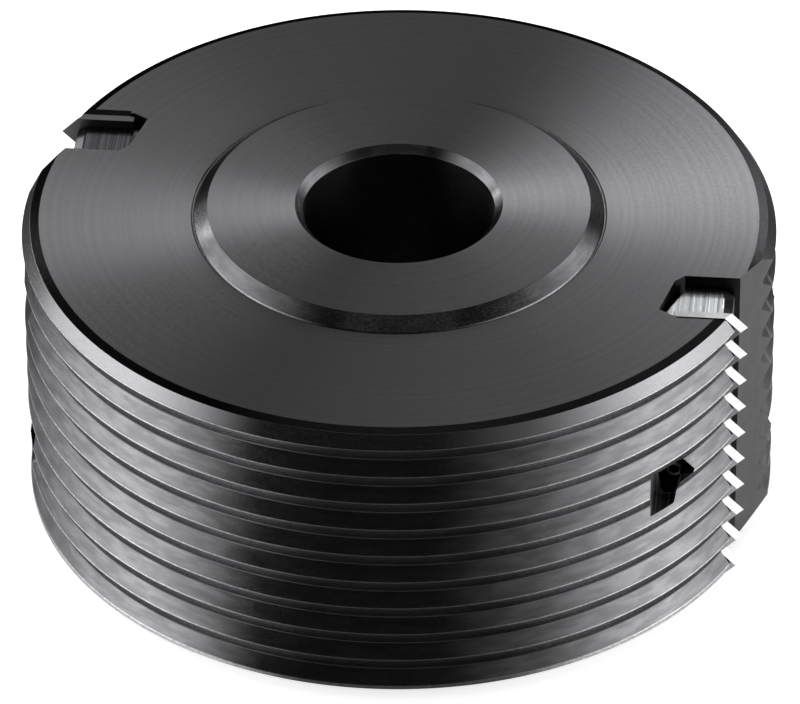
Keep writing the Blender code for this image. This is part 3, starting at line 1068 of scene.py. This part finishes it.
@dataclass
class Studio:
    """The floor, the surroundings, the lamps and the camera."""

    distance: float = 1.25587
    elevation: float = math.radians(35.077)
    tilt: float = math.radians(36.07)
    roll: float = math.radians(-0.451)
    lens: float = 362.386
    sensor: float = 36.0
    clip: tuple[float, float] = (0.05, 50.0)
    aim_height: float = 0.05
    floor_radius: float = 6.0
    floor_colour: float = 0.65
    floor_dark: float = 0.22
    floor_roughness: float = 0.9
    floor_glow: float = 0.77
    pool: tuple[float, float] = (0.35, 0.9)
    under: tuple[float, float] = (0.048, 0.058)
    near: tuple[float, float] = (0.05, 0.06)
    ahead: tuple[float, float] = (-0.72, -0.97)
    behind: tuple[float, float] = (0.3, 0.7)
    gloom: float = 0.02
    lamps: tuple[Lamp, ...] = (
        Lamp("overhead_lamp", bearing=0.0, elevation=88.0, distance=1.2, width=0.8, tall=0.8, power=1.8),
        Lamp(
            "back_right_lamp",
            bearing=156.0, elevation=28.0, distance=0.45, width=0.18, tall=0.14, power=0.75,
        ),
    )
    panels: tuple[Panel, ...] = (
        Panel("right", (36.0, 88.0, 112.0, 138.0), (-8.0, 0.0, 16.0, 46.0), 3.5),
        Panel("front right", (8.0, 48.0, 80.0, 100.0), (-8.0, 0.0, 25.0, 45.0), 0.42),
        Panel("left", (-140.0, -112.0, -84.0, -40.0), (-8.0, 0.0, 18.0, 54.0), 3.6),
        Panel("back left", (-153.0, -147.0, -137.0, -127.0), (8.0, 13.0, 27.0, 34.0), 11.0),
        Panel("high back", (150.0, 160.0, 172.0, 180.0), (34.0, 42.0, 52.0, 60.0), 1.6),
        Panel("back", (145.0, 168.0, 192.0, 215.0), (6.0, 18.0, 46.0, 58.0), 0.42),
    )

    def build_camera(self) -> None:
        """Stand the camera where the photograph's was, from its distance, elevation, tilt and roll."""
        data = bpy.data.cameras.new("camera")
        data.lens = self.lens
        data.sensor_width = self.sensor
        data.clip_start, data.clip_end = self.clip
        camera = bpy.data.objects.new("camera", data)
        back = Vector((0.0, -math.cos(self.tilt), math.sin(self.tilt)))
        level = Vector((1.0, 0.0, 0.0))
        rise = back.cross(level)
        right = level * math.cos(self.roll) + rise * math.sin(self.roll)
        up = rise * math.cos(self.roll) - level * math.sin(self.roll)
        turn = Matrix((right, up, back)).transposed().to_4x4()
        out = Vector((0.0, -math.cos(self.elevation), math.sin(self.elevation)))
        place = Matrix.Translation(out * self.distance + Vector((0.0, 0.0, self.aim_height)))
        camera.matrix_world = place @ turn
        bpy.context.scene.collection.objects.link(camera)
        bpy.context.scene.camera = camera

    def build_floor(self) -> None:
        """Lay a round pale floor that shows white and keeps the head's shadow.

        Its glow is a pool with the distance from the axis: none under the head, full round it and none far
        out. The steel sees a darker floor without the glow straight ahead and behind, where y / distance is
        near -1 or 1. The camera sees the same floor all round.
        """
        angle = equal_angles(ROUND_SEGMENTS)
        rim = np.column_stack([np.cos(angle), np.sin(angle), np.zeros(ROUND_SEGMENTS)]) * self.floor_radius
        floor = new_object("floor", rim, [list(range(ROUND_SEGMENTS))])
        material, sketch, shader = new_material("pale_floor")
        shader.inputs["Roughness"].default_value = self.floor_roughness
        shader.inputs["Specular IOR Level"].default_value = 0.0
        shader.inputs["Emission Color"].default_value = WHITE
        path = sketch.add("ShaderNodeLightPath").outputs
        steel = sketch.sum("MAXIMUM", path["Is Glossy Ray"], path["Is Transmission Ray"])
        place = sketch.add("ShaderNodeTexCoord").outputs["Object"]
        away = sketch.add("ShaderNodeVectorMath", {0: place}, operation="LENGTH").outputs["Value"]
        depth = sketch.add("ShaderNodeSeparateXYZ", {0: place}).outputs[1]
        turn = sketch.sum("DIVIDE", depth, away)
        dim = sketch.sum("ADD", sketch.band(turn, *self.ahead), sketch.band(turn, *self.behind))
        dim = sketch.sum("MULTIPLY", dim, sketch.band(sketch.sum("ABSOLUTE", depth), *self.near))
        hidden = sketch.sum("MULTIPLY", steel, dim)
        colour = sketch.blend(hidden, grey(self.floor_colour), grey(self.floor_dark))
        sketch.tree.links.new(colour, shader.inputs["Base Color"])
        pool = sketch.times(sketch.band(away, *self.pool, 1.0, 0.0), sketch.band(away, *self.under))
        seen = sketch.sum("MAXIMUM", path["Is Camera Ray"], steel)
        glow = sketch.times(seen, pool, sketch.sum("SUBTRACT", 1.0, hidden), self.floor_glow)
        sketch.tree.links.new(glow, shader.inputs["Emission Strength"])
        floor.data.materials.append(material)

    def build_world(self) -> None:
        """Surround the head with a dark studio and its pale panels.

        In a direction (x, y, z) the bearing is the angle of (x, -y), and the elevation is the arc sine of z.
        """
        world = bpy.data.worlds.new("studio")
        bpy.context.scene.world = world
        world.use_nodes = True
        sketch = Sketch(world.node_tree)
        place = sketch.add("ShaderNodeTexCoord").outputs["Generated"]
        axes = sketch.add("ShaderNodeSeparateXYZ", {0: place}).outputs
        front = sketch.sum("MULTIPLY", axes[1], -1.0)
        bearing = sketch.sum("DEGREES", sketch.sum("ARCTAN2", axes[0], front))
        rise = sketch.sum("DEGREES", sketch.sum("ARCSINE", axes[2]))
        strength = self.gloom
        for panel in self.panels:
            strength = sketch.sum("ADD", panel.glow(sketch, bearing, rise), strength)
        backdrop = world.node_tree.nodes["Background"]
        backdrop.inputs["Color"].default_value = WHITE
        sketch.tree.links.new(strength, backdrop.inputs["Strength"])

    def build(self) -> None:
        """Set up the whole studio."""
        self.build_camera()
        self.build_floor()
        self.build_world()
        for lamp in self.lamps:
            lamp.build(Vector((0.0, 0.0, self.aim_height / 2)))
        bpy.context.scene.view_settings.view_transform = "Standard"


def main() -> None:
    """Build the head's pieces in order, then the studio."""
    logging.basicConfig(level=logging.INFO, format="%(message)s")
    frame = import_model()
    groups = Groups.make()
    turned = TurnedSteel(
        "turned_steel", (0.115, 0.115, 0.119), roughness=0.42, mark_depth=0.003 * MM, anisotropy=0.9,
        edge_tint=0.4,
    )
    milled = MachinedSteel(
        "milled_dark_steel", (0.043, 0.043, 0.045), roughness=0.32, mark_depth=0.001 * MM, deep=0.9
    )
    lined = MachinedSteel(
        "lined_dark_steel", (0.6, 0.6, 0.61), roughness=0.3, mark_depth=0.006 * MM, lines=2.0, deep=0.12
    )
    grinding = {"across": (0.0, 0.0, 1.0), "deep": 0.9}
    # The knives share one steel, in a lit copy on the right and a darker painted-shade copy on the left.
    knives = {
        Station.RIGHT: MachinedSteel(
            "ground_steel", (0.34, 0.34, 0.345), roughness=0.22, mark_depth=0.0005 * MM, **grinding
        ),
        Station.LEFT: MachinedSteel(
            "shaded_ground_steel", (0.17, 0.17, 0.175), roughness=0.3, mark_depth=0.001 * MM, **grinding
        ),
    }
    milling = {"roughness": 0.22, "mark_depth": 0.0005 * MM, "lines": 1.3, "deep": 0.35, "end": 51.7}
    # The wedges share one steel, in a lit copy on the right and a darker painted-shade copy on the left.
    wedges = {
        Station.RIGHT: MachinedSteel("wedge_steel", (0.5, 0.51, 0.52), **milling),
        Station.LEFT: MachinedSteel("shaded_wedge_steel", (0.2, 0.2, 0.21), **milling),
    }
    oxide = OxideSteel("oxide_steel", (0.04, 0.04, 0.042), roughness=0.35, mark_depth=0.002 * MM)
    polished = OxideSteel(
        "bright_screw_steel", (0.9, 0.9, 0.9), roughness=0.5, mark_depth=0.001 * MM, rubbed=(0.7, 0.7, 0.7)
    )
    dark, bright = oxide.build(groups), polished.build(groups)
    RidgedBody().build(turned.build(groups), milled.build(groups), lined.build(groups), dark)
    for station in Station:
        ToothedKnife().build(station, frame, knives[station].build(groups))
        ClampWedge().build(station, wedges[station].build(groups))
        ScrewSet().build(station, bright, dark)
    Studio().build()


if __name__ == "__main__":
    main()
